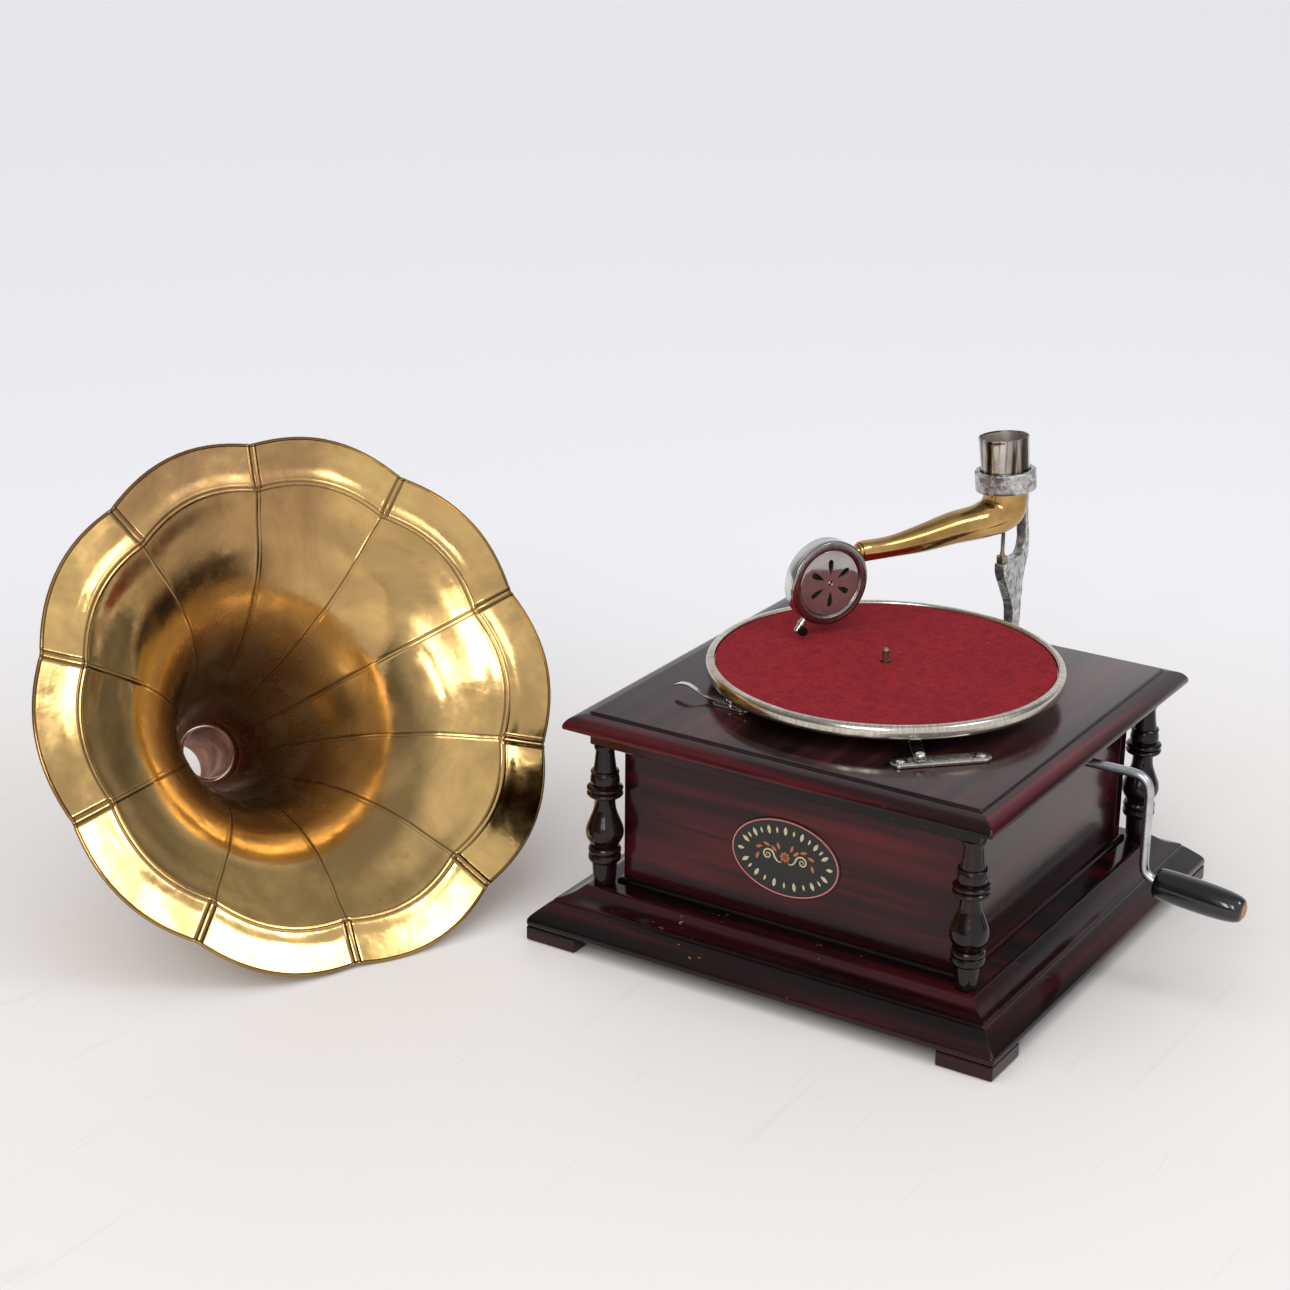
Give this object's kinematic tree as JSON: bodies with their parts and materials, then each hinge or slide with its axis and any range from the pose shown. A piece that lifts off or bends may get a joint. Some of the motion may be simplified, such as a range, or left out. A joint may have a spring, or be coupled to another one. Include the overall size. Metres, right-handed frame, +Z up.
{
  "type": "horn phonograph",
  "caption": "Wind-up horn phonograph: square wooden cabinet with a spring motor, felt turntable, tone arm, sound box and crank, its petalled brass horn lying beside it.",
  "frame": {"origin": "on the table under the middle of the whole set, cabinet and horn together", "axes": "+Z up, +X towards the crank, -Y towards the front with the badge"},
  "size_m": [0.8474, 0.6352, 0.33],
  "materials": {
    "mahogany": "dark red-brown mahogany under a worn high-gloss varnish",
    "dark_turned_wood": "near-black glossy turned wood",
    "badge_enamel": "black enamelled oval with a brass-coloured border, plain",
    "steel": "bare machined steel",
    "zinc_steel": "bright zinc-plated steel, lightly marked",
    "clock_brass": "cut clockwork brass",
    "polished_brass": "polished brass, warm and slightly aged",
    "horn_brass": "polished sheet brass with brown and copper-coloured tarnish",
    "copper": "darkened copper",
    "nickel": "aged nickel plate, warm grey, lightly pitted",
    "polished_nickel": "bright nickel plate with light wear",
    "red_felt": "crimson felt with a little lint",
    "black_grip": "black lacquered handle",
    "cast_metal": "rough grey casting",
    "brake_leather": "dark leather button",
    "dark_screw": "blackened knurled screw",
    "mica": "smoky mica sheet"
  },
  "bodies": {
    "cabinet": {"foot_front_left": "mahogany", "foot_front_right": "mahogany", "foot_back_left": "mahogany", "foot_back_right": "mahogany", "base_board": "mahogany", "front_panel": "mahogany", "back_panel": "mahogany", "left_panel": "mahogany", "right_panel": "mahogany", "column_front_left": "dark_turned_wood", "column_front_right": "dark_turned_wood", "column_back_left": "dark_turned_wood", "column_back_right": "dark_turned_wood", "lid_frame": "mahogany", "lid_board": "mahogany", "badge_plate": "badge_enamel", "motor_upper_plate": "steel", "motor_lower_plate": "steel", "motor_pillar_front_left": "steel", "motor_pillar_front_right": "steel", "motor_pillar_back": "steel", "speed_scale_plate": "nickel", "brake_base": "zinc_steel", "horn_bracket": "cast_metal", "horn_sleeve": "polished_nickel", "arm_pivot_pin": "zinc_steel"},
    "turntable": {"platter": "nickel", "platter_felt": "red_felt", "spindle": "steel", "spindle_worm_wheel": "clock_brass"},
    "barrel": {"spring_barrel": "steel", "barrel_wheel": "clock_brass", "mainspring": "steel"},
    "second_wheel_set": {"second_arbor": "steel", "second_wheel": "clock_brass"},
    "governor": {"governor_worm_shaft": "steel", "governor_disc": "clock_brass", "governor_weight_1": "clock_brass", "governor_weight_2": "clock_brass", "governor_weight_3": "clock_brass"},
    "crank": {"crank_rod": "zinc_steel", "crank_grip": "black_grip", "winding_pinion": "steel"},
    "winding_set": {"winding_arbor": "steel", "winding_wheel": "clock_brass"},
    "speed_control": {"speed_shaft": "steel", "speed_lever": "nickel", "speed_knob": "nickel"},
    "brake": {"brake_lever": "nickel", "brake_pad": "brake_leather"},
    "tone_arm": {"tonearm_tube": "polished_brass"},
    "sound_box": {"soundbox_shell": "polished_nickel", "soundbox_cover": "polished_nickel", "diaphragm": "mica", "needle_bar": "polished_nickel", "needle_thumb_screw": "dark_screw", "soundbox_crook": "polished_brass"},
    "horn": {"horn_bell": "horn_brass", "horn_neck": "copper"}
  },
  "joints": [
    {"name": "platter_spin", "type": "hinge", "parent": "cabinet", "child": "turntable", "pos_m": [0.147, 0.098, 0.19], "axis": [0, 0, 1], "continuous": true},
    {"name": "second_wheel_spin", "type": "hinge", "parent": "cabinet", "child": "second_wheel_set", "pos_m": [0.17417, 0.12385, 0.13], "axis": [0, 0, 1], "continuous": true},
    {"name": "barrel_spin", "type": "hinge", "parent": "cabinet", "child": "barrel", "pos_m": [0.211, 0.098, 0.11], "axis": [0, 0, 1], "continuous": true},
    {"name": "governor_spin", "type": "hinge", "parent": "cabinet", "child": "governor", "pos_m": [0.167, 0.098, 0.08], "axis": [0, -1, 0], "continuous": true},
    {"name": "crank_turn", "type": "hinge", "parent": "cabinet", "child": "crank", "pos_m": [0.211, 0.098, 0.1508], "axis": [1, 0, 0], "continuous": true},
    {"name": "winding_spin", "type": "hinge", "parent": "cabinet", "child": "winding_set", "pos_m": [0.211, 0.098, 0.14], "axis": [0, 0, 1], "continuous": true},
    {"name": "speed_lever_swing", "type": "hinge", "parent": "cabinet", "child": "speed_control", "pos_m": [0.192, 0.045, 0.175], "axis": [0, 0, 1], "range_deg": [0, 26]},
    {"name": "brake_swing", "type": "hinge", "parent": "cabinet", "child": "brake", "pos_m": [0.077, 0.003, 0.175], "axis": [0, 0, 1], "range_deg": [-16, 0]},
    {"name": "tone_arm_swing", "type": "hinge", "parent": "cabinet", "child": "tone_arm", "pos_m": [0.15, 0.278, 0.255], "axis": [0, 0, 1], "range_deg": [-28, 10]},
    {"name": "sound_box_turn", "type": "hinge", "parent": "tone_arm", "child": "sound_box", "pos_m": [0.08741, 0.16646, 0.2416], "axis": [-0.4894, -0.8721, 0], "range_deg": [0, 150]},
    {"name": "horn_lift", "type": "slide", "parent": "cabinet", "child": "horn", "axis": [0, 0, 1], "range_m": [0, 0.3]}
  ],
  "couplings": [
    {"joint": "second_wheel_spin", "follows": "platter_spin", "ratio": -0.25},
    {"joint": "barrel_spin", "follows": "platter_spin", "ratio": 0.0625},
    {"joint": "governor_spin", "follows": "platter_spin", "ratio": -12},
    {"joint": "winding_spin", "follows": "crank_turn", "ratio": 0.45833}
  ]
}
